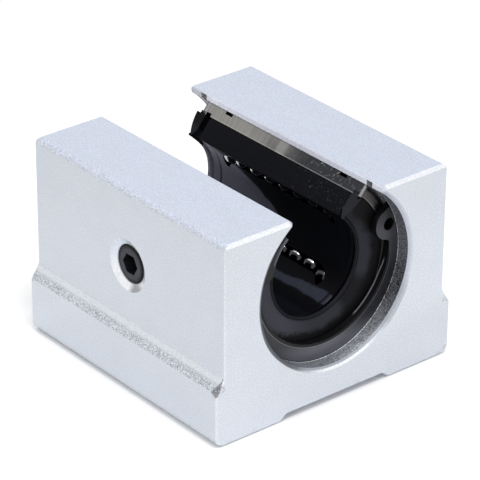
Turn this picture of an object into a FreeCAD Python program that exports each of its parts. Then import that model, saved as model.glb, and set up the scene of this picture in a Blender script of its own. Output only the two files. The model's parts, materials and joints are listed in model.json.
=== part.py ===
import FreeCAD, Part
import math
import os

# Open linear bearing block for a supported round rail. A bored housing with a rail slot along its
# crown holds a slotted ball sleeve between two snap rings, and a set screw keeps the sleeve from
# turning. Inside the sleeve a moulded cage guides four closed loops of balls.
# Millimetres. X runs along the shaft, Z points up to the slot, and the origin is the middle of the
# mounting face. Angles are in degrees from straight up, seen along the shaft, towards +Y.

# Housing
block_length = 45.0
flange_width = 45.0
flange_step = 1.5
block_height = 32.2
axis_height = 20.0
flange_height = 9.0
ledge_rise = 2.0
slot_width = 17.2
base_round = 1.6
flange_round = 0.3
ledge_round = 1.6
crown_round = 1.0
slot_round = 0.4
edge_break = 0.25
crown_edge_break = 0.5
corner_cut_along = 1.2
corner_cut_down = 0.7
bore_chamfer = 0.5

# Relief along the middle of the mounting face
relief_width = 21.0
relief_depth = 0.9
relief_ramp = 1.2
relief_round = 0.6

# Four tapped mounting holes, plain at tapping drill size
bolt_pitch_along = 30.0
bolt_pitch_across = 32.0
bolt_drill = 4.2
bolt_depth = 12.0
drill_point_angle = 118.0

# Ball loops: a loaded row, a return row and a half-round turn at each end, all in one plane
shaft_diameter = 16.0
ball_diameter = 3.0
balls_per_turn = 2
ball_gap = 0.0264
track_clearance = 0.1
loops_per_side = 2
loop_pitch_angle = 72.0

# Sleeve round the balls
sleeve_wall = 1.98
race_clearance = 0.03
return_clearance = 0.1
race_width = 2.8
race_overrun = 0.4
sleeve_groove_inset = 5.25
sleeve_groove_width = 1.6
sleeve_groove_depth = 0.5
sleeve_outer_round = 0.7
sleeve_inner_round = 0.3
slot_angle = 80.0
seat_clearance = 0.02

# Moulded ball cage
cage_bore_clearance = 0.2
cage_fit_clearance = 0.1
cage_rib = 1.25
cage_end_wall = 2.2
cage_edge_round = 0.3

# Lip seals, each with a bead that snaps into the sleeve
seal_thickness = 2.1
seal_clearance = 0.05
seal_recess = 0.1
seal_face_bulge = 0.25
seal_flare_depth = 0.5
seal_lip_recess = 0.95
seal_lip_width = 0.45
seal_lip_crown = 0.2
seal_lip_thickness = 0.3
seal_back_flare = 1.3
bead_height = 0.5
bead_width = 1.0
bead_recess = 0.9

# Snap rings, each in a groove set back from the end face
ring_inset = 2.7
ring_thickness = 1.2
ring_groove_width = 1.3
ring_groove_depth = 0.68
ring_groove_clearance = 0.05
ring_back_width = 3.4
ring_side_width = 2.35
ring_gap_angle = 121.0
ring_ear_radius = 2.5
ring_hole_diameter = 2.0
ring_hole_inset = 1.85
ring_root_round = 0.8

# Set screw that holds the sleeve, and the dimple it sits in
screw_diameter = 6.0
screw_clearance = 0.05
screw_recess = 0.5
screw_sink_diameter = 8.4
screw_sink_angle = 118.0
screw_edge_break = 0.3
screw_point_radius = 0.6
hex_across_flats = 3.0
hex_floor = 3.75
dimple_depth = 0.8
dimple_clearance = 0.05

# Overlap of a cutting tool past the face that it opens
tool_overrun = 1.0

# Worked out from the sizes above
shaft_radius = shaft_diameter / 2
ball_radius = ball_diameter / 2
row_radius = shaft_radius + ball_radius
turn_radius = (ball_diameter + ball_gap) / (2 * math.sin(math.pi / (2 * balls_per_turn)))
ball_pitch = math.pi * turn_radius / balls_per_turn
track_radius = ball_radius + track_clearance
return_radius = math.hypot(row_radius, 2 * turn_radius)
race_radius = row_radius + ball_radius + race_clearance
sleeve_bore_radius = return_radius + ball_radius + return_clearance
sleeve_radius = sleeve_bore_radius + sleeve_wall
sleeve_end = block_length / 2 - ring_inset - ring_groove_width
cage_bore_radius = shaft_radius + cage_bore_clearance
cage_radius = sleeve_bore_radius - cage_fit_clearance
cage_end = sleeve_end - seal_thickness - seal_clearance
row_room = 2 * (cage_end - cage_end_wall - track_radius - turn_radius)
balls_per_row = int(row_room / ball_pitch)
row_end = balls_per_row * ball_pitch / 2
slot_half_angle = slot_angle / 2
rib_angle = math.degrees(math.asin((track_radius + cage_rib) / row_radius))
first_row_angle = slot_half_angle + rib_angle
bore_radius = sleeve_radius + seat_clearance
ring_groove_radius = bore_radius + ring_groove_depth
ring_radius = ring_groove_radius - ring_groove_clearance
ring_start = sleeve_end + (ring_groove_width - ring_thickness) / 2
body_side = flange_width / 2 - flange_step
far_out = block_length + flange_width + block_height


def section_point(y, z):
    return FreeCAD.Vector(0, y, z)


def turning_point(x, radius):
    return FreeCAD.Vector(x, 0, axis_height + radius)


def polar_point(radius, angle, x=0.0):
    turn = math.radians(angle)
    return FreeCAD.Vector(x, radius * math.sin(turn), axis_height + radius * math.cos(turn))


def rounded_wire(corners, place):
    # Closed wire through (a, b, corner radius) points, set in space by the place function
    points = [place(a, b) for a, b, _ in corners]
    blends = []
    for i, (_, _, radius) in enumerate(corners):
        here = points[i]
        back = (points[i - 1] - here).normalize()
        ahead = (points[(i + 1) % len(points)] - here).normalize()
        half = back.getAngle(ahead) / 2
        reach = radius / math.tan(half)
        middle = here + (back + ahead).normalize() * (radius / math.sin(half) - radius)
        blends.append((here + back * reach, middle, here + ahead * reach, radius))
    edges = []
    for i, (start, middle, end, radius) in enumerate(blends):
        if radius > 0:
            edges.append(Part.Arc(start, middle, end).toShape())
        edges.append(Part.LineSegment(end, blends[(i + 1) % len(blends)][0]).toShape())
    return Part.Wire(edges)


def turned(wire):
    # Solid of revolution about the bore axis
    axis_point = FreeCAD.Vector(0, 0, axis_height)
    return Part.Face(wire).revolve(axis_point, FreeCAD.Vector(1, 0, 0), 360)


def mirrored_corners(corners):
    # A profile's corners for x > 0, followed by their mirror images for x < 0
    return corners + [(-x, radius, blend) for x, radius, blend in reversed(corners)]


def sector_tool(half_angle):
    # Wedge with its edge on the bore axis, open upwards, longer than the block
    reach = far_out / math.cos(math.radians(half_angle))
    corners = [polar_point(0, 0), polar_point(reach, half_angle), polar_point(reach, -half_angle)]
    face = Part.Face(Part.makePolygon(corners + corners[:1]))
    face.translate(FreeCAD.Vector(-block_length, 0, 0))
    return face.extrude(FreeCAD.Vector(2 * block_length, 0, 0))


def disc_along_x(radius, start, thickness, centre):
    base = FreeCAD.Vector(start, centre.y, centre.z)
    return Part.makeCylinder(radius, thickness, base, FreeCAD.Vector(1, 0, 0))


def bore_tool():
    # Bearing seat with a chamfered mouth and a snap ring groove at each end
    end = block_length / 2
    groove_out = end - ring_inset
    half = [
        (sleeve_end, bore_radius, 0),
        (sleeve_end, ring_groove_radius, 0),
        (groove_out, ring_groove_radius, 0),
        (groove_out, bore_radius, 0),
        (end - bore_chamfer, bore_radius, 0),
        (end + tool_overrun, bore_radius + bore_chamfer + tool_overrun, 0),
        (end + tool_overrun, 0, 0),
    ]
    return turned(rounded_wire(mirrored_corners(half), turning_point))


def bolt_hole(x, y):
    point = bolt_drill / 2 / math.tan(math.radians(drill_point_angle / 2))
    corners = [
        (0, -tool_overrun),
        (bolt_drill / 2, -tool_overrun),
        (bolt_drill / 2, bolt_depth),
        (0, bolt_depth + point),
    ]
    outline = [FreeCAD.Vector(x + r, y, z) for r, z in corners]
    face = Part.Face(Part.makePolygon(outline + outline[:1]))
    return face.revolve(FreeCAD.Vector(x, y, 0), FreeCAD.Vector(0, 0, 1), 360)


def turned_on_screw_axis(corners):
    # Solid of revolution about the set screw's axis, from (y, radius) corners
    outline = [FreeCAD.Vector(0, y, axis_height + radius) for y, radius in corners]
    face = Part.Face(Part.makePolygon(outline + outline[:1]))
    return face.revolve(FreeCAD.Vector(0, 0, axis_height), FreeCAD.Vector(0, 1, 0), 360)


def screw_hole():
    hole = screw_diameter / 2 + screw_clearance
    sink = screw_sink_diameter / 2
    slope = math.tan(math.radians(screw_sink_angle / 2))
    return turned_on_screw_axis([
        (-body_side - tool_overrun, 0),
        (-body_side - tool_overrun, sink + tool_overrun * slope),
        (-body_side + (sink - hole) / slope, hole),
        (-bore_radius / 2, hole),
        (-bore_radius / 2, 0),
    ])


def crown_edge_tool(end):
    # Chamfer along the top edge at one end
    past = tool_overrun
    x = block_length / 2
    corners = [
        (x - crown_edge_break - past, block_height + past),
        (x + past, block_height - crown_edge_break - past),
        (x + past, block_height + past),
    ]
    outline = [FreeCAD.Vector(end * along, -flange_width / 2, up) for along, up in corners]
    face = Part.Face(Part.makePolygon(outline + outline[:1]))
    return face.extrude(FreeCAD.Vector(0, flange_width, 0))


def corner_tool(end, side):
    # Wedge that takes the sharp top corner off one end of a flange, tapering out up the ledge
    def spot(inwards, across, up):
        return FreeCAD.Vector(
            end * (block_length / 2 - inwards),
            side * (flange_width / 2 - across),
            flange_height + up,
        )

    cut = [spot(0, flange_step, ledge_rise), spot(corner_cut_along, 0, 0), spot(0, 0, -corner_cut_down)]
    outwards = spot(0, 0, 0) * 3 - cut[0] - cut[1] - cut[2]
    return Part.Face(Part.makePolygon(cut + cut[:1])).extrude(outwards)


def make_block():
    half = [
        (relief_width / 2 - relief_ramp, relief_depth, relief_round),
        (relief_width / 2, 0, relief_round),
        (flange_width / 2, 0, base_round),
        (flange_width / 2, flange_height, flange_round),
        (body_side, flange_height + ledge_rise, ledge_round),
        (body_side, block_height, crown_round),
        (slot_width / 2, block_height, slot_round),
        (slot_width / 2, axis_height, 0),
    ]
    outline = half + [(-y, z, blend) for y, z, blend in reversed(half)]
    face = Part.Face(rounded_wire(outline, section_point))
    face.translate(FreeCAD.Vector(-block_length / 2, 0, 0))
    block = face.extrude(FreeCAD.Vector(block_length, 0, 0))
    end_edges = [edge for edge in block.Edges if edge.BoundBox.XLength < edge_break / 2]
    block = block.makeChamfer(edge_break, end_edges)
    tools = [bore_tool(), screw_hole()]
    for end in (1, -1):
        tools.append(crown_edge_tool(end))
        tools += [corner_tool(end, side) for side in (1, -1)]
    for x in (-bolt_pitch_along / 2, bolt_pitch_along / 2):
        for y in (-bolt_pitch_across / 2, bolt_pitch_across / 2):
            tools.append(bolt_hole(x, y))
    return block.cut(tools)


def loop_places():
    # Name, side (+1 towards +Y) and loaded row angle of each ball loop
    places = []
    for side, side_name in ((1, "right"), (-1, "left")):
        for number, level in zip(range(loops_per_side), ("upper", "lower")):
            places.append((f"{level}_{side_name}", side, first_row_angle + number * loop_pitch_angle))
    return places


def onto_loop(shape, side, angle):
    # Moves a shape drawn over the bore axis with its loaded row straight up to the loop's own place
    placed = shape.copy()
    placed.translate(FreeCAD.Vector(0, 0, axis_height))
    placed.rotate(FreeCAD.Vector(0, 0, axis_height), FreeCAD.Vector(1, 0, 0), -side * angle)
    return placed


def track_tool(side):
    # Racetrack channel for one loop: round floored, and open outwards to the sleeve
    floor = FreeCAD.Vector(-row_end, 0, row_radius - track_radius)
    left = FreeCAD.Vector(-row_end, -track_radius, row_radius)
    right = FreeCAD.Vector(-row_end, track_radius, row_radius)
    top_right = FreeCAD.Vector(-row_end, track_radius, sleeve_radius)
    top_left = FreeCAD.Vector(-row_end, -track_radius, sleeve_radius)
    wire = Part.Wire([
        Part.Arc(left, floor, right).toShape(),
        Part.LineSegment(right, top_right).toShape(),
        Part.LineSegment(top_right, top_left).toShape(),
        Part.LineSegment(top_left, left).toShape(),
    ])
    section = Part.Face(wire)
    loaded = section.extrude(FreeCAD.Vector(2 * row_end, 0, 0))
    returning = loaded.copy()
    returning.translate(FreeCAD.Vector(0, side * 2 * turn_radius, 0))
    up = FreeCAD.Vector(0, 0, 1)
    rear_turn = section.revolve(FreeCAD.Vector(-row_end, side * turn_radius, 0), up, -side * 180)
    front = section.copy()
    front.translate(FreeCAD.Vector(2 * row_end, 0, 0))
    front_turn = front.revolve(FreeCAD.Vector(row_end, side * turn_radius, 0), up, side * 180)
    return [loaded, returning, rear_turn, front_turn]


def race_land():
    # Raised strip inside the sleeve that one loaded row of balls runs on
    length = 2 * (row_end + race_overrun)
    root = sleeve_bore_radius + sleeve_wall / 4
    corner = FreeCAD.Vector(-length / 2, -race_width / 2, race_radius - sleeve_wall / 4)
    strip = Part.makeBox(length, race_width, root - corner.z, corner)
    centre = FreeCAD.Vector(0, 0, 0)
    return strip.cut(disc_along_x(race_radius, -length, 2 * length, centre))


def make_sleeve():
    groove_in = sleeve_end - sleeve_groove_inset - sleeve_groove_width / 2
    groove_out = groove_in + sleeve_groove_width
    groove_radius = sleeve_radius - sleeve_groove_depth
    bead_out = sleeve_end - bead_recess + seal_clearance
    bead_in = sleeve_end - bead_recess - bead_width - seal_clearance
    bead_radius = sleeve_bore_radius + bead_height
    outer = [
        (groove_in, sleeve_radius, 0),
        (groove_in, groove_radius, 0),
        (groove_out, groove_radius, 0),
        (groove_out, sleeve_radius, 0),
        (sleeve_end, sleeve_radius, sleeve_outer_round),
    ]
    inner = [
        (sleeve_end, sleeve_bore_radius, sleeve_inner_round),
        (bead_out, sleeve_bore_radius, 0),
        (bead_out, bead_radius, 0),
        (bead_in, bead_radius, 0),
        (bead_in, sleeve_bore_radius, 0),
    ]
    sleeve = turned(rounded_wire(mirrored_corners(outer + inner), turning_point))
    sleeve = sleeve.fuse([onto_loop(race_land(), side, angle) for _, side, angle in loop_places()])
    dimple_top = screw_point_radius + dimple_clearance + dimple_depth + tool_overrun
    dimple = turned_on_screw_axis([
        (-sleeve_radius - tool_overrun, 0),
        (-sleeve_radius - tool_overrun, dimple_top),
        (-sleeve_radius + dimple_depth, screw_point_radius + dimple_clearance),
        (-sleeve_radius + dimple_depth, 0),
    ])
    return sleeve.cut([sector_tool(slot_half_angle), dimple])


def make_cage():
    half = [(cage_end, cage_radius, cage_edge_round), (cage_end, cage_bore_radius, cage_edge_round)]
    cage = turned(rounded_wire(mirrored_corners(half), turning_point))
    tools = [sector_tool(slot_half_angle)]
    for _, side, angle in loop_places():
        tools += [onto_loop(tool, side, angle) for tool in track_tool(side)]
    return cage.cut(tools)


def make_seal(end):
    # Seal at one end (+1 front, -1 rear): a bulged face from the flared rim in to a groove, then the lip
    rim = sleeve_bore_radius - seal_clearance
    bead = rim + bead_height - seal_clearance
    groove = shaft_radius + seal_lip_width
    lip_side = seal_lip_recess + seal_lip_crown
    face_middle = (seal_recess + lip_side) / 2 - seal_face_bulge

    def spot(recess, radius):
        return turning_point(end * (sleeve_end - recess), radius)

    edges = [
        Part.Arc(spot(seal_recess, rim), spot(face_middle, (rim + groove) / 2), spot(lip_side, groove)),
        Part.Arc(
            spot(lip_side, groove),
            spot(seal_lip_recess, (groove + shaft_radius) / 2),
            spot(lip_side, shaft_radius),
        ),
    ]
    rest = [
        spot(lip_side, shaft_radius),
        spot(lip_side + seal_lip_thickness, shaft_radius),
        spot(seal_thickness, shaft_radius + seal_back_flare),
        spot(seal_thickness, rim),
        spot(bead_recess + bead_width, rim),
        spot(bead_recess + bead_width, bead),
        spot(bead_recess, bead),
        spot(bead_recess, rim),
        spot((bead_recess + seal_recess) / 2, rim - seal_flare_depth),
        spot(seal_recess, rim),
    ]
    edges += [Part.LineSegment(a, b) for a, b in zip(rest, rest[1:])]
    seal = turned(Part.Wire([edge.toShape() for edge in edges]))
    return seal.cut(sector_tool(slot_half_angle))


def make_snap_ring(end):
    # Open ring, widest opposite its gap, with a drilled ear at each end
    start = ring_start if end > 0 else -ring_start - ring_thickness
    centre = FreeCAD.Vector(0, 0, axis_height)
    back = ring_radius - ring_back_width
    side = ring_radius - ring_side_width
    inner_radius = (side ** 2 / back + back) / 2
    inner_centre = FreeCAD.Vector(0, 0, axis_height + inner_radius - back)
    full = disc_along_x(ring_radius, start, ring_thickness, centre)
    ring = full.cut([
        disc_along_x(inner_radius, start, ring_thickness, inner_centre),
        sector_tool(ring_gap_angle / 2),
    ])
    hole_radius = ring_radius - ring_hole_inset
    ear_angle = ring_gap_angle / 2 + math.degrees(math.asin(ring_ear_radius / hole_radius))
    ears, holes = [], []
    for angle in (ear_angle, -ear_angle):
        spot = polar_point(hole_radius, angle)
        ears.append(disc_along_x(ring_ear_radius, start, ring_thickness, spot).common(full))
        holes.append(disc_along_x(ring_hole_diameter / 2, start, ring_thickness, spot))
    ring = ring.fuse(ears).removeSplitter()
    roots = []
    for edge in ring.Edges:
        middle = edge.CenterOfMass
        reach = math.hypot(middle.y, middle.z - axis_height)
        turn = math.degrees(math.atan2(abs(middle.y), middle.z - axis_height))
        straight = abs(edge.BoundBox.XLength - ring_thickness) < ring_thickness / 100
        if straight and reach < hole_radius + ring_ear_radius / 2 and turn > ear_angle:
            roots.append(edge)
    return ring.makeFillet(ring_root_round, roots).cut(holes)


def make_set_screw():
    radius = screw_diameter / 2
    head = -body_side + screw_recess
    point = -sleeve_radius + dimple_depth - dimple_clearance
    cone_root = point - (radius - screw_point_radius)
    body = turned_on_screw_axis([
        (head, 0),
        (head, radius - screw_edge_break),
        (head + screw_edge_break, radius),
        (cone_root, radius),
        (point, screw_point_radius),
        (point, 0),
    ])
    hex_radius = hex_across_flats / 2 / math.cos(math.pi / 6)
    corners = []
    for i in range(7):
        turn = i * math.pi / 3
        along = hex_radius * math.cos(turn)
        up = hex_radius * math.sin(turn)
        corners.append(FreeCAD.Vector(along, head, axis_height + up))
    hex_depth = point - head - hex_floor
    socket = Part.Face(Part.makePolygon(corners)).extrude(FreeCAD.Vector(0, hex_depth, 0))
    return body.cut(socket)


def ball(x, across, side, angle):
    sphere = Part.makeSphere(ball_radius, FreeCAD.Vector(x, across, row_radius))
    return onto_loop(sphere, side, angle)


def make_row(side, angle, across):
    first = -(balls_per_row - 1) / 2
    places = [(first + i) * ball_pitch for i in range(balls_per_row)]
    return Part.makeCompound([ball(x, across, side, angle) for x in places])


def make_turn(side, angle, end):
    balls = []
    for i in range(balls_per_turn):
        along = (i + 0.5) * math.pi / balls_per_turn
        x = end * (row_end + turn_radius * math.sin(along))
        across = side * turn_radius * (1 - math.cos(along))
        balls.append(ball(x, across, side, angle))
    return Part.makeCompound(balls)


def make_parts():
    parts = {
        "block": make_block(),
        "outer_sleeve": make_sleeve(),
        "ball_cage": make_cage(),
        "front_seal": make_seal(1),
        "rear_seal": make_seal(-1),
        "front_snap_ring": make_snap_ring(1),
        "rear_snap_ring": make_snap_ring(-1),
        "set_screw": make_set_screw(),
    }
    for name, side, angle in loop_places():
        parts[f"{name}_loaded_balls"] = make_row(side, angle, 0)
        parts[f"{name}_return_balls"] = make_row(side, angle, side * 2 * turn_radius)
        parts[f"{name}_front_turn_balls"] = make_turn(side, angle, 1)
        parts[f"{name}_rear_turn_balls"] = make_turn(side, angle, -1)
    return parts


os.makedirs("parts", exist_ok=True)
for node, shape in make_parts().items():
    shape.exportStep(f"parts/{node}.step")
    print(f"{node}: {len(shape.Solids)} solids, {shape.Volume:.1f} mm3, valid {shape.isValid()}")
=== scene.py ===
import json
import math

import bpy
from mathutils import Matrix, Vector


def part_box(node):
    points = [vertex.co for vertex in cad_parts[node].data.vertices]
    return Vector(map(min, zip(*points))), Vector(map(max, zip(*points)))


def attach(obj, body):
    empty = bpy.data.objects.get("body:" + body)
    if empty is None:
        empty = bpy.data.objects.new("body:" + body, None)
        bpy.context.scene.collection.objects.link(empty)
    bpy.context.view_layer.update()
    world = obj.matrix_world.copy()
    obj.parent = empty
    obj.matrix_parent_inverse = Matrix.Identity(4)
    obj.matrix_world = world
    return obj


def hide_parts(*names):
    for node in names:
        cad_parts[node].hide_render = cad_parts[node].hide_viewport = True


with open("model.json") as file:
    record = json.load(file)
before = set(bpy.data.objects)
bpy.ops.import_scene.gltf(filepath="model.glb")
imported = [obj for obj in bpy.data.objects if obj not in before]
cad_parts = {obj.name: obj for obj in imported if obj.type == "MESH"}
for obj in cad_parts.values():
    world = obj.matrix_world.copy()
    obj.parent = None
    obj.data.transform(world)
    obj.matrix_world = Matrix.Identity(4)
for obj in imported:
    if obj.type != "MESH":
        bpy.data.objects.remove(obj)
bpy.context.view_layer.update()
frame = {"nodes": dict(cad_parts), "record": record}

nodes = frame["nodes"]
mounts = {mount["name"]: mount for mount in frame["record"]["mounts"]}
print("frame loaded with", len(nodes), "nodes")

# places on the part in millimetres, as the finishes use them; left is -Y, the set screw's side
# a span in a finish is (from, to), and a third number is how soft both its ends are
mm = 1000.0
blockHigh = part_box("block")[1] * mm
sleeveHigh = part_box("outer_sleeve")[1] * mm
screwLow, screwHigh = (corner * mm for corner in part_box("set_screw"))
axisHeight = mounts["shaft_bore"]["pos_m"][2] * mm
boreRadius = sleeveHigh.y
screwRadius = screwHigh.x
holePattern = mounts["base_holes"]["dims"]


# shader sums

class Wire:
    # an output socket that can be used in plain sums
    def __init__(self, finish, socket):
        self.finish = finish
        self.socket = socket

    def calc(self, operation, first, second=0.0):
        return self.finish.add("ShaderNodeMath", {"operation": operation}, {0: first, 1: second})

    def __add__(self, other):
        return self.calc("ADD", self, other)

    def __radd__(self, other):
        return self.calc("ADD", other, self)

    def __sub__(self, other):
        return self.calc("SUBTRACT", self, other)

    def __rsub__(self, other):
        return self.calc("SUBTRACT", other, self)

    def __mul__(self, other):
        return self.calc("MULTIPLY", self, other)

    def __rmul__(self, other):
        return self.calc("MULTIPLY", other, self)

    def __truediv__(self, other):
        return self.calc("DIVIDE", self, other)

    def __pow__(self, other):
        return self.calc("POWER", self, other)

    def __abs__(self):
        return self.calc("ABSOLUTE", self)


class Finish:
    # one material and its nodes
    def __init__(self, name):
        self.material = bpy.data.materials.new(name)
        self.material.use_nodes = True
        self.tree = self.material.node_tree
        self.tree.nodes.clear()
        self.out = self.tree.nodes.new("ShaderNodeOutputMaterial")

    def add(self, kind, settings=None, sockets=None, out=0):
        node = self.tree.nodes.new(kind)
        for key, value in (settings or {}).items():
            setattr(node, key, value)
        for key, value in (sockets or {}).items():
            if isinstance(value, Wire):
                self.tree.links.new(value.socket, node.inputs[key])
            else:
                node.inputs[key].default_value = value
        return Wire(self, node.outputs[out])

    def place(self):
        # object coordinates in millimetres
        coords = self.add("ShaderNodeTexCoord", out="Object")
        return self.add("ShaderNodeVectorMath", {"operation": "SCALE"}, {0: coords, "Scale": mm})

    def split(self, vector):
        node = self.add("ShaderNodeSeparateXYZ", None, {0: vector}).socket.node
        return [Wire(self, socket) for socket in node.outputs]

    def stretch(self, vector, factors):
        return self.add("ShaderNodeVectorMath", {"operation": "MULTIPLY"}, {0: vector, 1: factors})

    def noise(self, vector, scale, detail=2.0, rough=0.5):
        # scale is in cells to a millimetre
        sockets = {"Vector": vector, "Scale": scale, "Detail": detail, "Roughness": rough}
        return self.add("ShaderNodeTexNoise", None, sockets)

    def cells(self, vector, scale):
        # a random value for each small cell
        colour = self.add("ShaderNodeTexVoronoi", None, {"Vector": vector, "Scale": scale}, "Color")
        return self.split(colour)[0]

    def ease(self, value, low, high):
        # 0 below low, 1 above high
        settings = {"interpolation_type": "SMOOTHSTEP"}
        return self.add("ShaderNodeMapRange", settings, {0: value, 1: low, 2: high, 3: 0.0, 4: 1.0})

    def band(self, value, low, high, soft):
        return self.ease(value, low - soft, low) * (1 - self.ease(value, high, high + soft))

    def mix(self, factor, first, second):
        settings = {"data_type": "RGBA", "clamp_factor": True}
        return self.add("ShaderNodeMix", settings, {0: factor, 6: first, 7: second}, 2)

    def scaled(self, colour, factor):
        return self.add("ShaderNodeVectorMath", {"operation": "SCALE"}, {0: colour, "Scale": factor})

    def bump(self, height, strength, distance):
        sockets = {"Height": height, "Strength": strength, "Distance": distance / mm}
        return self.add("ShaderNodeBump", None, sockets)

    def radius(self, across, up):
        # distance from the bore's axis, or from the set screw's, which is as high
        return (across ** 2 + (up - axisHeight) ** 2) ** 0.5

    def turn(self, across, up):
        # angle round an axis, in whole turns
        return across.calc("ARCTAN2", across, up) / (2 * math.pi)

    def angle(self, across, up):
        # degrees round the bore, from straight up towards +Y
        return self.turn(across, up - axisHeight) * 360

    def thread(self, along, turns, pitch):
        # height of a screw thread's flanks, 0 at the root and 1 at the crest
        wave = along.calc("PINGPONG", along / pitch + turns, 0.5)
        return wave * 2

    def surface(self, **sockets):
        named = {key.replace("_", " "): value for key, value in sockets.items()}
        shader = self.add("ShaderNodeBsdfPrincipled", None, named)
        self.tree.links.new(shader.socket, self.out.inputs["Surface"])
        return self.material


def rgb(red, green, blue):
    return (red, green, blue, 1.0)


def weighed(at, weights):
    # masks added up, each with its own weight
    return sum(at[place] * weight for place, weight in weights.items())


# blasted aluminium of the housing

blockLook = {
    # top, side and end are one aluminium as painted light: the end faces lighter and the flange's sides
    # darker
    "top": rgb(0.644, 0.687, 0.786),
    "side": rgb(0.625, 0.658, 0.709),
    "end": rgb(0.672, 0.703, 0.757),
    # bore: the turned wall of the bore, painted darker as shade
    "bore": rgb(0.185, 0.195, 0.220),
    "edge": rgb(0.900, 0.910, 0.930),
    "slot": rgb(0.795, 0.812, 0.920),
    "dark": rgb(0.330, 0.340, 0.360),
    "shadeGrey": rgb(0.300, 0.305, 0.320),
    "rough": 0.5,
    # cells to a millimetre
    "grain": 4.0, "mottle": 0.25, "blots": 0.5, "sparkle": 9.0, "flecks": 5.0,
    # how much each place counts
    "coarse": {"ledge": 1.4, "crown": 0.7, "mouth": 0.5, "wall": 1.7, "corner": 1.2},
    # bright: painted highlights at the mouth, along the crown's, end's, ledge's and groove's edges, and
    # on the countersink
    "bright": {"mouth": 0.7, "crownEdge": 0.7, "sink": 0.08, "sinkWhite": 0.77, "ledgeTop": 0.3,
               "groove": 1.0, "endEdge": 0.2},
    # darkened: painted shade on the corner facets and the slot's tip, and a painted shadow round the
    # screw
    "darkened": {"corner": 1.0, "sinkFoot": 0.9, "tip": 0.8},
    "tones": {"smudge": -0.2, "shade": -0.07, "paintedShade": -0.4, "ledge": -0.09, "slotRear": -0.35},
    # wallTones: the bore's wall painted lighter low down, and darker in a band on the right and on the
    # left, as shade
    "wallTones": {"below": 0.35, "wallShadeBand": -0.40, "left": -0.5},
    # how much each pattern shows in the tone and in the bump
    "grainTone": 0.7, "mottleTone": 0.06, "sparkleTone": 0.62, "fleckTone": 0.8,
    "grainHeight": 0.02, "sparkleHeight": 0.015, "threadHeight": 0.3,
    # sizes that the CAD has
    "chamfer": 0.5, "flangeStep": 1.5, "slotHalf": 8.6, "grooveEdge": 19.8, "ledgeTop": 10.3,
    "cornerPlane": (0.2726, 0.8411, 0.4673, 28.937), "threadPitch": 0.8, "screwPitch": 1.0,
    # spans from the end face, the side and the top, inwards below 0
    "endFace": (-0.28, -0.22), "endZone": (-0.53, -0.50), "endLine": (-0.25, -0.02, 0.02),
    "glowDepth": (-1.6, -0.6),
    "sideFace": (-0.5, -0.1), "webFace": (-0.1, 0.0), "endLineSide": (-0.3, -0.2),
    "sideTop": (-0.7, -0.2), "crownSide": (-0.95, -0.7), "crownTop": (-1.0, -0.7),
    "crownLine": (-0.56, -0.50), "facet": (-0.05, -0.02),
    # spans from the bore's wall, its mouth, its grooves and the slot's wall
    "wallZone": (-0.5, -0.3), "grooveFloor": (0.70, 0.74), "sideZone": (1.0, 2.0),
    "mouthShadeEdge": (-0.26, -0.06), "shadedEdge": (0.10, 0.22), "shadedLeftEdge": (-0.05, 0.06),
    "mouthLine": (-0.16, 0.14, 0.10), "grooveSpan": (-1.3, 0.0, 0.05), "grooveLine": (0.0, 0.10, 0.04),
    "slotWall": (0.02, 0.10), "crownFrom": (0.35, 0.55), "tipSide": (0.15, 0.40),
    # heights, and depths below the axis
    "ledgeFoot": (8.95, 9.05), "ledgeFade": (9.8, 10.3), "ledgeLine": (0.05, 0.45, 0.25),
    "facetTop": (10.95, 11.05), "smudgeHeight": (0.9, 2.4), "shadeHeight": (5.0, 14.0),
    "slotFoot": (30.9, 31.0), "grooveTop": (30.5, 30.7), "tipFoot": (30.0, 30.5),
    "litDepth": (11.8, 13.6), "under": (8.5, 13.0), "whiteDepth": (-0.8, 2.2), "sinkShadeDepth": (1.8, 3.2),
    # spans across, towards the left, and along the shaft
    "litAcross": (-5.5, -1.5), "shadeAcross": (-5.0, 20.0),
    "glowFrom": (-3.0, 6.0), "glowTo": (4.5, 7.5),
    "left": (5.0, 9.5), "farLeft": (10.0, 13.5), "tipHalf": (0.0, 1.0), "screwDepth": (10.0, 11.0),
    "frontHalf": (-5.0, 5.0), "sinkShadeFrom": (-0.3, 1.2), "slotRear": (17.0, 20.0),
    # spans from the screw's axis and in the threaded holes
    "sinkRim": (4.1, 4.3), "sinkFoot": (3.10, 3.25), "screwHole": (0.10, 0.15),
    "holeWall": (0.05, 0.10), "holeEnd": (11.8, 12.0),
    # degrees round the bore, and the level at which blots start
    "wallShadeBand": (106.0, 120.0, 14.0), "beside": (116.0, 134.0, 12.0), "blotLevels": (0.55, 0.68),
}


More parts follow.
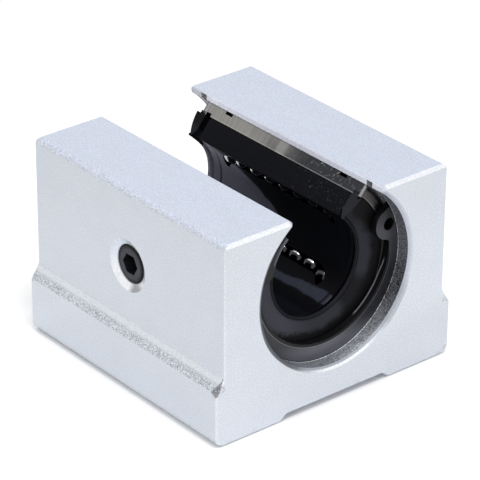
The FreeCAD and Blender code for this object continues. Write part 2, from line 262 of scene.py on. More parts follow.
def blockPlaces(finish, x, y, z):
    # masks that are 1 on one kind of surface and 0 elsewhere
    look = blockLook
    along, across, leftward = abs(x), abs(y), 0 - y
    depth = axisHeight - z
    angle = finish.angle(y, z)
    fromBore = finish.radius(y, z) - boreRadius
    fromMouth = fromBore - look["chamfer"]
    fromEnd = along - blockHigh.x
    fromSide = across - (blockHigh.y - look["flangeStep"])
    fromTop = z - blockHigh.z
    fromSlot = across - look["slotHalf"]
    fromGroove = along - look["grooveEdge"]
    fromScrew = finish.radius(x, z)

    front = finish.ease(x, *look["frontHalf"])
    nearEnd = finish.ease(fromEnd, *look["endZone"])
    inside = 1 - finish.ease(fromBore, *look["grooveFloor"])
    slot = (1 - finish.ease(fromSlot, *look["slotWall"])) * finish.ease(z, *look["slotFoot"])
    wall = inside * finish.ease(fromBore, *look["wallZone"]) * (1 - nearEnd) * (1 - slot)
    groove = finish.band(fromGroove, *look["grooveSpan"]) * inside
    grooveTop = groove * finish.ease(z, *look["grooveTop"])
    web = finish.ease(fromSide, *look["webFace"])
    onSide = finish.ease(leftward - boreRadius, *look["sideZone"])
    sink = (1 - finish.ease(fromScrew, *look["sinkRim"])) * onSide
    sinkLow = sink * finish.ease(depth, *look["sinkShadeDepth"])
    cornerX, cornerY, cornerZ, cornerReach = look["cornerPlane"]
    facet = finish.ease(cornerX * along + cornerY * across + cornerZ * z - cornerReach, *look["facet"])

    # round the bore's mouth: a painted highlight under the shaft, painted shade beside it and darkest on
    # the left, and a painted glow low on the bore's wall
    lit = finish.ease(depth, *look["litDepth"]) * finish.ease(y, *look["litAcross"])
    below = finish.ease(depth, *look["under"])
    left = finish.ease(leftward, *look["left"])
    farLeft = finish.ease(leftward, *look["farLeft"])
    beside = finish.band(angle, *look["beside"])
    inner = nearEnd * (1 - finish.ease(fromMouth, *look["mouthShadeEdge"]))
    paintedShading = nearEnd * (1 - finish.ease(fromMouth - beside * 0.2, *look["shadedEdge"]))
    paintedShade = nearEnd * left * (1 - finish.ease(fromMouth - farLeft * 0.2, *look["shadedLeftEdge"]))
    glow = wall * below * finish.ease(y, *look["glowFrom"]) * (1 - finish.ease(y, *look["glowTo"]) * 0.6)
    return {
        "end": finish.ease(fromEnd, *look["endFace"]),
        "side": finish.ease(fromSide, *look["sideFace"]) * (1 - finish.ease(fromTop, *look["sideTop"])),
        "wall": wall,
        "below": below,
        "glow": glow * (0.25 + finish.ease(fromEnd, *look["glowDepth"]) * 0.65),
        "wallShadeBand": finish.band(angle, *look["wallShadeBand"]),
        "left": left,
        "paintedShade": paintedShade,
        "mouthShade": inner * (0.15 + below * 0.35) + paintedShading * (0.10 + beside * 0.32) + paintedShade * 0.75,
        "mouth": nearEnd * finish.band(fromMouth, *look["mouthLine"]) * lit,
        "groove": finish.band(fromGroove, *look["grooveLine"]) * inside,
        "crownEdge": finish.ease(fromEnd + fromTop, *look["crownLine"])
                     * finish.ease(fromSlot, *look["crownFrom"]) * front,
        "endEdge": finish.band(fromEnd, *look["endLine"]) * finish.ease(fromSide, *look["endLineSide"]),
        "ledge": finish.ease(z, *look["ledgeFoot"]) * (1 - finish.ease(z, *look["ledgeFade"])) * web,
        "ledgeTop": finish.band(z - look["ledgeTop"], *look["ledgeLine"]) * web,
        "crown": finish.ease(fromSide, *look["crownSide"]) * finish.ease(fromTop, *look["crownTop"]),
        "corner": facet * (1 - finish.ease(z, *look["facetTop"])) * (0.3 + front * 0.7),
        "tip": nearEnd * (1 - finish.ease(fromSlot, *look["tipSide"]))
               * finish.ease(z, *look["tipFoot"]) * finish.ease(leftward, *look["tipHalf"]),
        "sink": sink,
        "sinkWhite": sink * finish.ease(depth, *look["whiteDepth"]),
        "sinkShade": sinkLow * finish.ease(x, *look["sinkShadeFrom"]),
        "sinkFoot": (1 - finish.ease(fromScrew, *look["sinkFoot"])) * onSide,
        "slot": slot + (1 - slot) * grooveTop * front * 0.8,
    }


def blockThreads(finish, x, y, z):
    # thread heights in the base holes and in the screw's hole
    look = blockLook
    holeAlong = abs(x) - holePattern["spacing_x_mm"] / 2
    holeAcross = abs(y) - holePattern["spacing_y_mm"] / 2
    fromHole = (holeAlong ** 2 + holeAcross ** 2) ** 0.5 - holePattern["hole_r_mm"]
    hand = x.calc("SIGN", x) * y.calc("SIGN", y)
    inHole = (1 - finish.ease(fromHole, *look["holeWall"])) * (1 - finish.ease(z, *look["holeEnd"]))
    baseThread = finish.thread(z, finish.turn(holeAcross, holeAlong) * hand, look["threadPitch"])
    inScrewHole = 1 - finish.ease(finish.radius(x, z) - screwRadius, *look["screwHole"])
    inScrewHole = inScrewHole * finish.ease(0 - y, *look["screwDepth"])
    screwThread = finish.thread(y, finish.turn(x, z - axisHeight), look["screwPitch"])
    return inHole * baseThread + inScrewHole * screwThread


def housingFinish():
    look = blockLook
    finish = Finish("housing_aluminium")
    spot = finish.place()
    x, y, z = finish.split(spot)
    at = blockPlaces(finish, x, y, z)

    # grain of the blasting, coarser on the drawn ledge, the crown's edges and the bore
    grain = finish.noise(spot, look["grain"], 3.0, 0.7)
    mottle = finish.noise(spot, look["mottle"], 2.0, 0.5)
    sparkle = finish.cells(spot, look["sparkle"])
    flecks = finish.cells(spot, look["flecks"])
    blots = finish.ease(finish.noise(spot, look["blots"], 3.0, 0.6), *look["blotLevels"])
    coarse = weighed(at, look["coarse"])
    at["smudge"] = blots * (1 - finish.ease(z, *look["smudgeHeight"])) * at["end"]
    shade = finish.ease(y, *look["shadeAcross"]) * (1 - finish.ease(z, *look["shadeHeight"]))
    at["shade"] = shade * at["end"]
    at["slotRear"] = at["slot"] * finish.ease(0 - x, *look["slotRear"])
    wallTone = (flecks - 0.5) * look["fleckTone"] - 0.06 + weighed(at, look["wallTones"])
    tone = 1 + (grain - 0.5) * look["grainTone"] + (mottle - 0.5) * look["mottleTone"]
    tone = tone + coarse * (sparkle - 0.52) * look["sparkleTone"]
    tone = tone + at["wall"] * wallTone + weighed(at, look["tones"])

    colour = finish.mix(at["side"], look["top"], look["side"])
    colour = finish.mix(at["end"], colour, look["end"])
    colour = finish.mix(at["slot"], colour, look["slot"])
    colour = finish.mix(at["wall"] + at["mouthShade"], colour, look["bore"])
    bright = weighed(at, look["bright"]) + at["glow"] * (sparkle * 0.4 + 0.12)
    colour = finish.mix(bright, colour, look["edge"])
    # painted shade on the countersink's lower side
    colour = finish.mix(at["sinkShade"] * (0.4 + grain), colour, look["shadeGrey"])
    colour = finish.mix(weighed(at, look["darkened"]), colour, look["dark"])

    height = grain * look["grainHeight"] + coarse * sparkle * look["sparkleHeight"]
    height = height + blockThreads(finish, x, y, z) * look["threadHeight"]
    return finish.surface(
        Base_Color=finish.scaled(colour, tone),
        Metallic=1 - at["slot"] * 0.9 - (at["wall"] + at["mouthShade"] + at["mouth"]) * 0.6,
        Roughness=look["rough"] + (grain - 0.5) * 0.25 - at["sink"] * 0.12,
        Normal=finish.bump(height, 0.5, 1.0),
    )


# ground steel of the slotted sleeve

sleeveLook = {
    "far": rgb(0.270, 0.264, 0.252),
    "near": rgb(0.040, 0.042, 0.047),
    "outside": rgb(0.300, 0.300, 0.300),
    "end": rgb(0.035, 0.034, 0.035),
    "endLine": rgb(0.120, 0.115, 0.112),
    "speckAndHighlight": rgb(0.500, 0.500, 0.500),
    "corner": rgb(0.600, 0.600, 0.610),
    "rough": 0.3,
    # how each pattern is stretched, in cells to a millimetre along, across and up
    "grinding": (6.0, 0.12, 0.12), "turning": (5.0, 0.3, 0.3), "waver": (0.6, 0.06, 0.06),
    "stains": 2.2, "drift": 0.25, "speckLevels": (0.58, 0.66),
    # spans above the axis, across, from the end, from the inner wall and along the shaft
    "wall": 1.98,
    "cutHeight": (8.9, 9.1), "cutHalf": (9.1, 9.3), "endLitHeight": (4.0, 6.5),
    "cutEnd": (-0.75, -0.65), "endFace": (-0.25, -0.10), "endCorner": (-0.10, -0.05),
    "edgeLine": (0.0, 0.12, 0.06), "innerShade": (0.02, 0.05), "cornerRim": (0.04, 0.07),
    "shadeShare": (-0.5, 0.35), "wipedLine": (-0.8, 0.4, 0.7), "speckFrom": (-2.0, 5.0),
}


def sleeveFinish():
    look = sleeveLook
    finish = Finish("bearing_steel")
    spot = finish.place()
    x, y, z = finish.split(spot)
    above = z - axisHeight
    fromEnd = abs(x) - sleeveHigh.x
    radius = finish.radius(y, z)
    fromInner = radius - (boreRadius - look["wall"])

    # the slot's cut faces lie well above the axis and keep grinding lines across their thickness
    cutFace = finish.ease(above, *look["cutHeight"]) * (1 - finish.ease(abs(y), *look["cutHalf"]))
    cutFace = cutFace * (1 - finish.ease(fromEnd, *look["cutEnd"]))
    lines = finish.noise(finish.stretch(spot, look["grinding"]), 1.0, 3.0, 0.7)
    turning = finish.noise(finish.stretch(spot, look["turning"]), 1.0, 2.0, 0.5)
    # a painted reflection along the cut faces, light at the far end and dark near, with a wavering edge
    drift = (finish.noise(spot, look["drift"], 2.0) - 0.5) * 8
    paintedShade = finish.ease((x + drift) / sleeveHigh.x, *look["shadeShare"])
    colour = finish.mix(paintedShade, look["far"], look["near"])
    colour = finish.mix(cutFace, look["outside"], colour)
    specks = finish.ease(finish.noise(spot, look["stains"], 4.0, 0.7), *look["speckLevels"])
    specks = specks * finish.ease(x, *look["speckFrom"])
    # a painted highlight along the cut face's inner edge, mixed with the stains
    edge = finish.band(fromInner, *look["edgeLine"])
    wiped = finish.band(x + (lines - 0.5) * 2, *look["wipedLine"])
    colour = finish.mix((specks * 0.4 + edge * 0.3 + wiped * 0.3) * cutFace, colour, look["speckAndHighlight"])

    # the end faces keep turning lines, and are painted darker below their upper part, as shade
    endFace = finish.ease(fromEnd, *look["endFace"])
    rings = finish.noise(finish.stretch(spot, look["waver"]), 1.0, 2.0) * 2 + radius * 9
    turned = finish.mix(abs(rings.calc("SINE", rings)), look["end"], look["endLine"])
    endLit = 0.2 + finish.ease(above, *look["endLitHeight"]) * 0.8
    colour = finish.mix(endFace, colour, finish.scaled(turned, endLit))
    # painted shade on the end faces by the inner wall, and a painted highlight on their inner corner
    innerShade = 1 - finish.ease(fromInner, *look["innerShade"])
    colour = finish.mix(innerShade * (1 - cutFace), colour, look["end"])
    corner = finish.ease(fromEnd, *look["endCorner"]) * (1 - finish.ease(fromInner, *look["cornerRim"]))
    colour = finish.mix(corner, colour, look["corner"])
    return finish.surface(
        Base_Color=finish.scaled(colour, 0.45 + lines * 1.10),
        Metallic=1 - corner * 0.7,
        Roughness=look["rough"] + (lines - 0.5) * 0.3,
        Normal=finish.bump(lines * cutFace + turning * (1 - cutFace) * 0.5, 0.15, 0.02),
    )


# moulded cage

cageLook = {
    "plastic": rgb(0.0035, 0.0037, 0.0050),
    "dust": rgb(0.28, 0.29, 0.34),
    "oilAndSheen": rgb(0.032, 0.037, 0.056),
    "paintedReflection": rgb(0.150, 0.157, 0.215),
    "rough": 0.38,
    # cells to a millimetre
    "grain": 5.0, "specks": 3.5, "waver": 0.35, "speckLevels": (0.63, 0.69),
    # spans above the axis, from the inner wall and along the shaft
    "bore": 8.2,
    "cutHeight": (6.0, 6.2), "cutRim": (0.1, 0.3), "innerRim": (0.05, 0.15),
    "speckFrom": (0.0, 12.0), "taper": (3.0, 15.0), "reflectionEdge": (7.2, 8.2),
    "seams": ((15.35, 15.65, 0.12), (-14.55, -14.25, 0.12)),
    # degrees round the bore, and millimetres to a degree
    "oilAndSheenEnd": (100.0, 125.0), "smearAndSheenFrom": (145.0, 148.0), "smearAndSheenTo": (159.0, 162.0),
    "reflectionSpan": (46.0, 105.0, 6.0), "reflectionThin": (56.0, 85.0), "reflectionStep": (54.0, 62.0),
    "reflectionMiddle": 72.0, "reflectionLean": 0.27,
}


def cageFinish():
    look = cageLook
    finish = Finish("cage_plastic")
    spot = finish.place()
    x, y, z = finish.split(spot)
    fromBore = finish.radius(y, z) - look["bore"]
    grain = finish.noise(spot, look["grain"], 3.0, 0.6)
    cutFace = finish.ease(z - axisHeight, *look["cutHeight"]) * finish.ease(fromBore, *look["cutRim"])
    inside = 1 - finish.ease(fromBore, *look["innerRim"])
    specks = finish.ease(finish.noise(spot, look["specks"], 3.0, 0.7), *look["speckLevels"])
    specks = specks * finish.ease(x, *look["speckFrom"]) * cutFace

    # oil and a painted reflection on the inner wall, strongest in a smear low on one side
    angle = finish.angle(y, z) + (finish.noise(spot, look["waver"], 3.0) - 0.5) * 7
    taper = (1 - finish.ease(x, *look["taper"])) * 5
    smearAndSheen = finish.ease(angle - taper, *look["smearAndSheenFrom"]) * (1 - finish.ease(angle, *look["smearAndSheenTo"]))
    oilAndSheen = 0.07 - finish.ease(angle, *look["oilAndSheenEnd"]) * 0.07 + smearAndSheen * (0.4 + grain * 0.8)
    colour = finish.mix(inside * oilAndSheen, look["plastic"], look["oilAndSheen"])
    # a painted reflection towards the rear, between the windows of that side
    far = finish.ease((angle - look["reflectionMiddle"]) * look["reflectionLean"] - x, *look["reflectionEdge"])
    far = far * finish.band(angle, *look["reflectionSpan"]) * inside
    reflectionStrength = 1.02 + grain * 0.3 - finish.ease(angle, *look["reflectionThin"]) * 0.35
    reflectionStrength = reflectionStrength - finish.ease(angle, *look["reflectionStep"]) * 0.3
    colour = finish.mix(far * reflectionStrength, colour, look["paintedReflection"])
    seam = sum(finish.band(x, *span) for span in look["seams"]) * inside
    colour = finish.mix(seam * 0.8, colour, look["plastic"])
    colour = finish.mix(specks * 0.4 + cutFace * grain * 0.024, colour, look["dust"])
    return finish.surface(
        Base_Color=finish.scaled(colour, 0.7 + grain * 0.6),
        Metallic=0.0,
        Roughness=look["rough"] + cutFace * 0.4 + (grain - 0.5) * 0.15,
        Specular_IOR_Level=0.03,
        Coat_Weight=(inside * smearAndSheen * 0.10 + far * 0.04) * (1 - seam),
        Coat_Roughness=0.15,
        Normal=finish.bump(grain, 0.15, 0.02),
    )


# lip seals

sealLook = {
    "rubber": rgb(0.0035, 0.0036, 0.0044),
    "band": rgb(0.025, 0.026, 0.033),
    "lit": rgb(0.110, 0.116, 0.145),
    "rearLit": rgb(0.260, 0.270, 0.330),
    "wiped": rgb(0.120, 0.122, 0.138),
    "rough": 0.42,
    # cells to a millimetre
    "grain": 4.0, "waver": 0.5, "fray": 2.0,
    # distances from the axis
    "lipEdge": (8.08, 8.20), "bandFrom": (8.20, 8.55), "bandTo": (9.6, 10.6),
    "rearRim": (9.1, 10.1), "frontRim": (8.5, 8.6),
    # spans above the axis, towards the left and along the shaft
    "upper": (2.0, 7.0), "wipedHeight": (0.5, 3.0),
    "wideSide": (3.0, 11.0), "paleSide": (0.0, 7.0), "wipedSide": (2.0, 5.0),
    "rearLip": (12.0, 17.12, 0.1), "frontLip": (10.0, 12.0), "frontHalf": (0.0, 1.0),
    # degrees round the bore
    "darkStart": (46.0, 68.0, 9.0), "shadedSpan": (122.0, 142.0, 12.0),
    "rearFrom": (47.0, 60.0), "cutEnd": (40.3, 40.8),
}


def sealFinish():
    look = sealLook
    finish = Finish("seal_rubber")
    spot = finish.place()
    x, y, z = finish.split(spot)
    above, leftward = z - axisHeight, 0 - y
    radius = finish.radius(y, z)
    angle = finish.angle(y, z)
    grain = finish.noise(spot, look["grain"], 3.0, 0.6)

    # a painted lit band, wide on one side and faint where it passes under the other, with painted shade
    # above the axis and a painted highlight on the lip's edge
    low = 1 - finish.ease(above, *look["upper"])
    limit = radius - finish.ease(leftward, *look["wideSide"]) * 1.6
    limit = limit + (finish.noise(spot, look["waver"], 2.0) - 0.5) * 0.9
    limit = limit + (finish.noise(spot, look["fray"], 3.0, 0.7) - 0.5) * 0.8
    limit = limit + finish.band(angle, *look["darkStart"]) * 0.55
    paintedShading = finish.ease(radius, *look["bandFrom"]) * (1 - finish.ease(limit, *look["bandTo"]))
    paintedShading = paintedShading * (0.35 + low * 0.65) * (1 - finish.band(angle, *look["shadedSpan"]) * 0.75)
    pale = paintedShading * finish.ease(leftward, *look["paleSide"]) * 0.20
    paintedShading = paintedShading + (1 - finish.ease(radius, *look["lipEdge"])) * 0.5
    colour = finish.mix(paintedShading * (0.75 + grain * 0.5), look["rubber"], look["band"])
    colour = finish.mix(pale, colour, look["lit"])

    # the rear lip on the cage's side, the front lip by the slot, and the front seal's cut ends
    rearLip = finish.band(0 - x, *look["rearLip"]) * finish.ease(abs(angle), *look["rearFrom"])
    rearLip = rearLip * (1 - finish.ease(radius, *look["rearRim"]))
    colour = finish.mix(rearLip, colour, look["rearLit"])
    frontLip = finish.ease(x, *look["frontLip"]) * (1 - finish.ease(radius, *look["frontRim"]))
    wiped = finish.ease(leftward, *look["wipedSide"]) * finish.ease(above, *look["wipedHeight"])
    colour = finish.mix(frontLip * wiped, colour, look["wiped"])
    cutEnd = (1 - finish.ease(abs(angle), *look["cutEnd"])) * finish.ease(x, *look["frontHalf"])
    colour = finish.mix(cutEnd * (0.4 + grain * 0.5), colour, look["band"])
    return finish.surface(
        Base_Color=colour,
        Metallic=0.0,
        Roughness=look["rough"] + (grain - 0.5) * 0.15,
        Specular_IOR_Level=0.06,
        Normal=finish.bump(grain, 0.1, 0.02),
    )


# phosphated snap rings

ringLook = {
    "dark": rgb(0.115, 0.118, 0.136),
    "light": rgb(0.155, 0.159, 0.182),
    "shade": rgb(0.014, 0.014, 0.018),
    "edgeShadow": rgb(0.008, 0.008, 0.010),
    "paintedShading": rgb(0.300, 0.305, 0.320),
    "rough": 0.42,
    # cells to a millimetre
    "grain": 6.0, "patches": 0.4,
    # the inner edge's own circle, and spans from it, from the axis and along the shaft
    "innerRadius": 12.349, "innerLift": 1.099, "rim": 0.42,
    "innerEdge": (0.0, 0.05), "innerLine": (0.05, 0.11, 0.04), "outerEdge": (13.86, 13.92),
    "faceEdge": (19.66, 19.73), "backLine": (18.72, 18.92, 0.05),
    # spans above the axis, across, and towards the left
    "upper": (-2.0, 1.0), "ear": (-5.0, 2.5), "earTip": (3.0, 5.5), "sides": (-12.6, -9.0),
    "deepen": (-9.0, 2.0), "relent": (4.0, 11.0), "left": (4.0, 8.0), "leftShade": (0.0, 9.0),
    # degrees round the bore
    "backFrom": (98.0, 112.0), "backSpan": (105.0, 140.0, 8.0),
}


def ringFinish():
    look = ringLook
    finish = Finish("ring_steel")
    spot = finish.place()
    x, y, z = finish.split(spot)
    above, leftward = z - axisHeight, 0 - y
    angle = finish.angle(y, z)
    grain = finish.noise(spot, look["grain"], 3.0, 0.6)
    patches = finish.noise(spot, look["patches"], 2.0, 0.5)
    below = 1 - finish.ease(above, *look["upper"])
    ear = finish.ease(above, *look["ear"])
    left = finish.ease(leftward, *look["left"])

    # painted shade, darkest up the sides, a painted shadow round both edges, and painted highlight lines
    # on the inner corner and further back
    turnedAway = 0.55 + finish.ease(y, *look["deepen"]) * 0.45 - finish.ease(y, *look["relent"]) * 0.11
    shade = finish.ease(above, *look["sides"]) * turnedAway
    shade = shade + finish.ease(leftward, *look["leftShade"]) * 0.25
    shade = shade * (1 - ear * (1 - left) * 0.28) + ear * left * 0.2
    shade = shade + finish.ease(above, *look["earTip"]) * (1 - left) * 0.2
    colour = finish.mix(patches, look["dark"], look["light"])
    colour = finish.mix(shade, colour, look["shade"])
    fromInner = finish.radius(y, z - look["innerLift"]) - look["innerRadius"] - below * look["rim"]
    edgeShadow = 1 - finish.ease(abs(x), *look["faceEdge"])
    edgeShadow = edgeShadow + below * (1 - finish.ease(fromInner, *look["innerEdge"]))
    edgeShadow = edgeShadow + finish.ease(finish.radius(y, z), *look["outerEdge"])
    colour = finish.mix(edgeShadow, colour, look["edgeShadow"])
    line = below * finish.band(fromInner, *look["innerLine"]) * 0.35
    back = abs(x) - (1 - finish.ease(angle, *look["backFrom"])) * 0.3
    line = line + finish.band(back, *look["backLine"]) * finish.band(angle, *look["backSpan"]) * 2
    colour = finish.mix(line, colour, look["paintedShading"])
    return finish.surface(
        Base_Color=finish.scaled(colour, 0.8 + grain * 0.4),
        Metallic=0.6,
        Roughness=look["rough"] + (grain - 0.5) * 0.2,
        Normal=finish.bump(grain, 0.15, 0.01),
    )


# set screw and balls

screwLook = {
    "dark": rgb(0.018, 0.019, 0.026),
    "light": rgb(0.051, 0.053, 0.068),
    "edge": rgb(0.008, 0.008, 0.010),
    "rim": (2.20, 2.55),    # from the screw's axis
    "metallic": 0.7, "rough": 0.36, "uneven": 0.2, "grain": 6.0, "patches": 0.8, "bump": 0.15,
}
ballLook = {
    "dark": rgb(0.035, 0.036, 0.040),
    "light": rgb(0.065, 0.067, 0.072),
    "rolled": rgb(0.75, 0.755, 0.77),
    "upper": rgb(0.42, 0.425, 0.44),
    "track": (124.7, 126.0, 0.7),    # degrees to each side of straight up
    "upperHeight": (-1.0, 1.0),    # above the axis
    "metallic": 1.0, "rough": 0.10, "uneven": 0.04, "grain": 2.0, "patches": 0.5, "bump": 0.01,
}


def steelFinish(name, look):
    finish = Finish(name)
    spot = finish.place()
    x, y, z = finish.split(spot)
    grain = finish.noise(spot, look["grain"], 3.0, 0.6)
    patches = finish.noise(spot, look["patches"], 2.0, 0.5)
    colour = finish.mix(patches, look["dark"], look["light"])
    if "track" in look:
        # the balls are dark, partly oil and partly painted shade, with a painted highlight along a track
        # and those above the axis painted lighter
        angle = abs(finish.angle(y, z)) + (finish.noise(spot, 1.1, 1.0) - 0.5) * 3
        colour = finish.mix(finish.band(angle, *look["track"]), colour, look["rolled"])
        colour = finish.mix(finish.ease(z - axisHeight, *look["upperHeight"]), colour, look["upper"])
    if "rim" in look:
        # the screw's turned edge is blacker than its face
        colour = finish.mix(finish.ease(finish.radius(x, z), *look["rim"]), colour, look["edge"])
    return finish.surface(
        Base_Color=finish.scaled(colour, 0.8 + grain * 0.4),
        Metallic=look["metallic"],
        Roughness=look["rough"] + (grain - 0.5) * look["uneven"],
        Normal=finish.bump(grain, look["bump"], 0.01),
    )


finishes = {
    "housing_aluminium": housingFinish(),
    "bearing_steel": sleeveFinish(),
    "cage_plastic": cageFinish(),
    "seal_rubber": sealFinish(),
    "ring_steel": ringFinish(),
    "screw_steel": steelFinish("screw_steel", screwLook),
    "ball_steel": steelFinish("ball_steel", ballLook),
}
for subpart in frame["record"]["subparts"]:
    nodes[subpart["node"]].material_slots[0].material = finishes[subpart["material_slot"]]
print("finishes on", len(nodes), "nodes")


# pieces that refine a CAD node

weld = 1e-6    # metres, for merging a node's loose triangles


def only(piece):
    bpy.ops.object.select_all(action="DESELECT")
    piece.select_set(True)
    bpy.context.view_layer.objects.active = piece


def nodeCopy(node, name):
    # a merged copy of a node, ready to shape
    piece = nodes[node].copy()
    piece.data = nodes[node].data.copy()
    piece.name = name
    bpy.context.scene.collection.objects.link(piece)
    only(piece)
    bpy.ops.object.mode_set(mode="EDIT")
    bpy.ops.mesh.select_all(action="SELECT")
    bpy.ops.mesh.customdata_custom_splitnormals_clear()
    bpy.ops.mesh.remove_doubles(threshold=weld)
    bpy.ops.object.mode_set(mode="OBJECT")
    return piece


def pick(piece, test):
    # selects the vertices that pass, and leaves the piece in edit mode
    bpy.ops.object.mode_set(mode="EDIT")
    bpy.ops.mesh.select_mode(type="VERT")
    bpy.ops.mesh.select_all(action="DESELECT")
    bpy.ops.object.mode_set(mode="OBJECT")
    for vertex in piece.data.vertices:
        vertex.select = test(vertex.co * mm)
    bpy.ops.object.mode_set(mode="EDIT")


def done(piece, body, slot, node, angle):
    only(piece)
    bpy.ops.object.shade_smooth_by_angle(angle=math.radians(angle))
    weighted = piece.modifiers.new("flat_faces", "WEIGHTED_NORMAL")
    weighted.keep_sharp = True
    bpy.ops.object.modifier_apply(modifier=weighted.name)
    piece.data.materials.clear()
    piece.data.materials.append(finishes[slot])
    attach(piece, body)
    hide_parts(node)


# snap rings with their stamped edges

ringEdge = {
    "width": 0.10, "segments": 2,
    "flat": 1.0, "sharp": 50.0, "smooth": 40.0,    # degrees
}


def makeRing(node):
    piece = nodeCopy(node, node + "_stamped")
    bpy.ops.object.mode_set(mode="EDIT")
    bpy.ops.mesh.select_all(action="SELECT")
    bpy.ops.mesh.dissolve_limited(angle_limit=math.radians(ringEdge["flat"]))
    bpy.ops.object.mode_set(mode="OBJECT")
    bevel = piece.modifiers.new("stamped_edge", "BEVEL")
    bevel.width = ringEdge["width"] / mm
    bevel.segments = ringEdge["segments"]
    bevel.limit_method = "ANGLE"
    bevel.angle_limit = math.radians(ringEdge["sharp"])
    bpy.ops.object.modifier_apply(modifier=bevel.name)
    done(piece, "housing", "ring_steel", node, ringEdge["smooth"])


# rear seal, whose cut ends have curled out of the sleeve

sealCurl = {
    "from": 62.0, "to": 40.0, "margin": 0.1, "smooth": 35.0,    # degrees
    "steps": 11, "reach": 1.10,
}


def makeRearSeal():
    piece = nodeCopy("rear_seal", "rear_seal_curled")
    first, last, steps = sealCurl["from"], sealCurl["to"], sealCurl["steps"]
    angles = [first + (last - first) * i / steps for i in range(steps)]
    centre = Vector((0, 0, axisHeight / mm))
    for side in (1, -1):
        for angle in angles:
            turn = math.radians(angle) * side
            bpy.ops.object.mode_set(mode="EDIT")
            bpy.ops.mesh.select_all(action="SELECT")
            bpy.ops.mesh.bisect(plane_co=centre, plane_no=(0, math.cos(turn), -math.sin(turn)))
            bpy.ops.object.mode_set(mode="OBJECT")
    # the steps grow towards the middle, so that the curl starts and ends gently
    total = sum(range(1, steps + 1))
    for i, angle in enumerate(angles):
        limit = math.radians(angle - sealCurl["margin"])
        pick(piece, lambda spot: abs(math.atan2(spot.y, spot.z - axisHeight)) < limit)
        step = sealCurl["reach"] / mm * min(i + 1, steps - i) / (total / 2)
        bpy.ops.transform.translate(value=(-step, 0, 0))
        bpy.ops.object.mode_set(mode="OBJECT")
    done(piece, "housing", "seal_rubber", "rear_seal", sealCurl["smooth"])


# set screw with its thread

threadRidge = {
    "pitch": 1.0, "root": 2.45, "crest": 2.96, "start": 1.35,
    "head": 0.8, "undercut": 0.02, "overlap": 0.05, "skin": 0.05,
    "rootShare": 0.86, "crestShare": 0.16,    # of the pitch, and of the root's width
    "turns": 4, "steps": 36, "smooth": 30.0, "weld": 1e-7,
}


def makeSetScrew():
    look = threadRidge
    core = nodeCopy("set_screw", "set_screw_threaded")
    centre = Vector((0, 0, axisHeight))
    headEnd = screwLow.y + look["head"]
    bpy.ops.object.mode_set(mode="EDIT")
    for depth in (headEnd, headEnd + look["undercut"]):
        bpy.ops.mesh.select_all(action="SELECT")
        bpy.ops.mesh.bisect(plane_co=(0, depth / mm, 0), plane_no=(0, 1, 0))
    bpy.ops.object.mode_set(mode="OBJECT")

    def onShank(spot):
        reach = Vector((spot.x, 0, spot.z - axisHeight)).length
        return reach > screwRadius - look["skin"] and spot.y > headEnd + look["undercut"] / 2

    pick(core, onShank)
    shrink = look["root"] / screwRadius
    bpy.ops.transform.resize(value=(shrink, 1, shrink), center_override=centre / mm)
    bpy.ops.object.mode_set(mode="OBJECT")

    # the ridge starts a little inside the shank
    ridgeFoot = look["root"] - look["overlap"]
    ridgeHeight = look["crest"] - ridgeFoot
    bpy.ops.object.select_all(action="DESELECT")
    bpy.ops.mesh.primitive_plane_add(size=1 / mm, rotation=(math.pi / 2, 0, 0))
    ridge = bpy.context.object
    bpy.ops.object.transform_apply(rotation=True)
    bpy.ops.object.mode_set(mode="EDIT")
    bpy.ops.mesh.select_all(action="SELECT")
    bpy.ops.transform.resize(value=(ridgeHeight, 1, look["pitch"] * look["rootShare"]))
    bpy.ops.mesh.delete(type="ONLY_FACE")
    pick(ridge, lambda spot: spot.x > 0)
    bpy.ops.transform.resize(value=(1, 1, look["crestShare"]))
    bpy.ops.mesh.select_all(action="SELECT")
    bpy.ops.transform.translate(value=((ridgeFoot + ridgeHeight / 2) / mm, 0, 0))
    bpy.ops.object.mode_set(mode="OBJECT")
    helix = ridge.modifiers.new("helix", "SCREW")
    helix.screw_offset = look["pitch"] / mm
    helix.iterations = look["turns"]
    helix.steps = look["steps"]
    helix.render_steps = look["steps"]
    bpy.ops.object.modifier_apply(modifier=helix.name)
    bpy.ops.object.mode_set(mode="EDIT")
    bpy.ops.mesh.select_all(action="SELECT")
    bpy.ops.mesh.remove_doubles(threshold=look["weld"])
    bpy.ops.mesh.fill_holes(sides=4)
    bpy.ops.mesh.normals_make_consistent(inside=False)
    bpy.ops.object.mode_set(mode="OBJECT")
    ridge.rotation_euler = (-math.pi / 2, 0, 0)
    ridge.location = (0, (screwLow.y + look["start"]) / mm, axisHeight / mm)
    bpy.ops.object.transform_apply(location=True, rotation=True, scale=True)

    only(core)
    ridge.select_set(True)
    bpy.ops.object.join()
    done(core, "set_screw", "screw_steel", "set_screw", look["smooth"])


for node in ("front_snap_ring", "rear_snap_ring"):
    makeRing(node)
makeRearSeal()
makeSetScrew()
print("pieces modelled")


# studio

studio = {
    "floorSize": 4.0,    # metres
    "floorHeight": -0.05,    # millimetres, just clear of the mounting face
    "floorColour": rgb(0.94, 0.94, 0.94),
    "fadeFrom": 45.0,    # millimetres from the middle, where the floor goes over into white
    "fadeTo": 140.0,
    "skyLight": 1.0,
    "topEnergy": 0.9,
    "topSize": 0.16,
    "topPlace": (0.16, -0.06, 0.50),
}


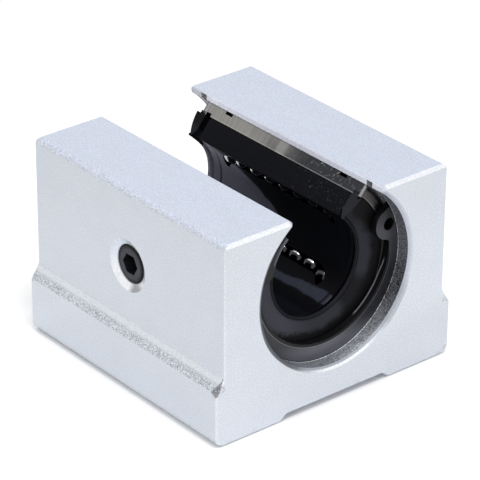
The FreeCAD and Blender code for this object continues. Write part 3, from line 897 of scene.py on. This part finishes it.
def makeFloor():
    bpy.ops.object.select_all(action="DESELECT")
    place = (0, 0, studio["floorHeight"] / mm)
    bpy.ops.mesh.primitive_plane_add(size=studio["floorSize"], location=place)
    floor = bpy.context.object
    floor.name = "studio_floor"
    finish = Finish("studio_floor")
    x, y = finish.split(finish.place())[:2]
    away = finish.ease((x ** 2 + y ** 2) ** 0.5, studio["fadeFrom"], studio["fadeTo"])
    path = finish.add("ShaderNodeLightPath").socket.node
    rays = ("Is Camera Ray", "Is Glossy Ray", "Is Transmission Ray")
    seen = sum(Wire(finish, path.outputs[ray]) for ray in rays)
    paper = finish.add("ShaderNodeBsdfDiffuse", None, {"Color": studio["floorColour"]})
    white = finish.add("ShaderNodeEmission", None, {"Color": rgb(1, 1, 1), "Strength": 1.0})
    blend = finish.add("ShaderNodeMixShader", None, {0: seen * away, 1: paper, 2: white})
    finish.tree.links.new(blend.socket, finish.out.inputs["Surface"])
    floor.data.materials.append(finish.material)


def makeSky():
    # even white all round, so every ray sees the same background
    world = bpy.data.worlds.new("studio_sky")
    bpy.context.scene.world = world
    world.use_nodes = True
    back = world.node_tree.nodes["Background"]
    back.inputs["Color"].default_value = rgb(1, 1, 1)
    back.inputs["Strength"].default_value = studio["skyLight"]


def makeLamp():
    bpy.ops.object.light_add(type="AREA", location=studio["topPlace"])
    lamp = bpy.context.object
    lamp.name = "top_softbox"
    lamp.data.energy = studio["topEnergy"]
    lamp.data.size = studio["topSize"]
    aim = Vector((0, 0, axisHeight / mm)) - Vector(studio["topPlace"])
    lamp.rotation_euler = aim.to_track_quat("-Z", "Y").to_euler()


cameraSetup = {
    "azimuth": 50.59,
    "elevation": 27.49,
    "roll": 0.30,
    "distance": 0.4459,
    "pivotHeight": 0.020,
    "aimShift": (0.000126, -0.002443),
    "lens": 224.0,
    "sensor": 36.0,
    "clipStart": 0.01,
}


def makeCamera():
    setup = cameraSetup
    turn, tilt = math.radians(setup["azimuth"]), math.radians(setup["elevation"])
    back = Vector((math.sin(turn) * math.cos(tilt), -math.cos(turn) * math.cos(tilt), math.sin(tilt)))
    right = Vector((math.cos(turn), math.sin(turn), 0.0))
    pivot = Vector((0, 0, setup["pivotHeight"]))
    eye = pivot + back * setup["distance"]
    aim = pivot + right * setup["aimShift"][0] + back.cross(right) * setup["aimShift"][1]
    facing = (aim - eye).to_track_quat("-Z", "Y").to_matrix().to_4x4()
    data = bpy.data.cameras.new("photo_camera")
    data.lens = setup["lens"]
    data.sensor_width = setup["sensor"]
    data.clip_start = setup["clipStart"]
    camera = bpy.data.objects.new("photo_camera", data)
    bpy.context.scene.collection.objects.link(camera)
    roll = Matrix.Rotation(math.radians(setup["roll"]), 4, "Z")
    camera.matrix_world = Matrix.Translation(eye) @ facing @ roll
    bpy.context.scene.camera = camera


makeFloor()
makeSky()
makeLamp()
makeCamera()
bpy.context.scene.view_settings.view_transform = "Standard"
print("studio ready")
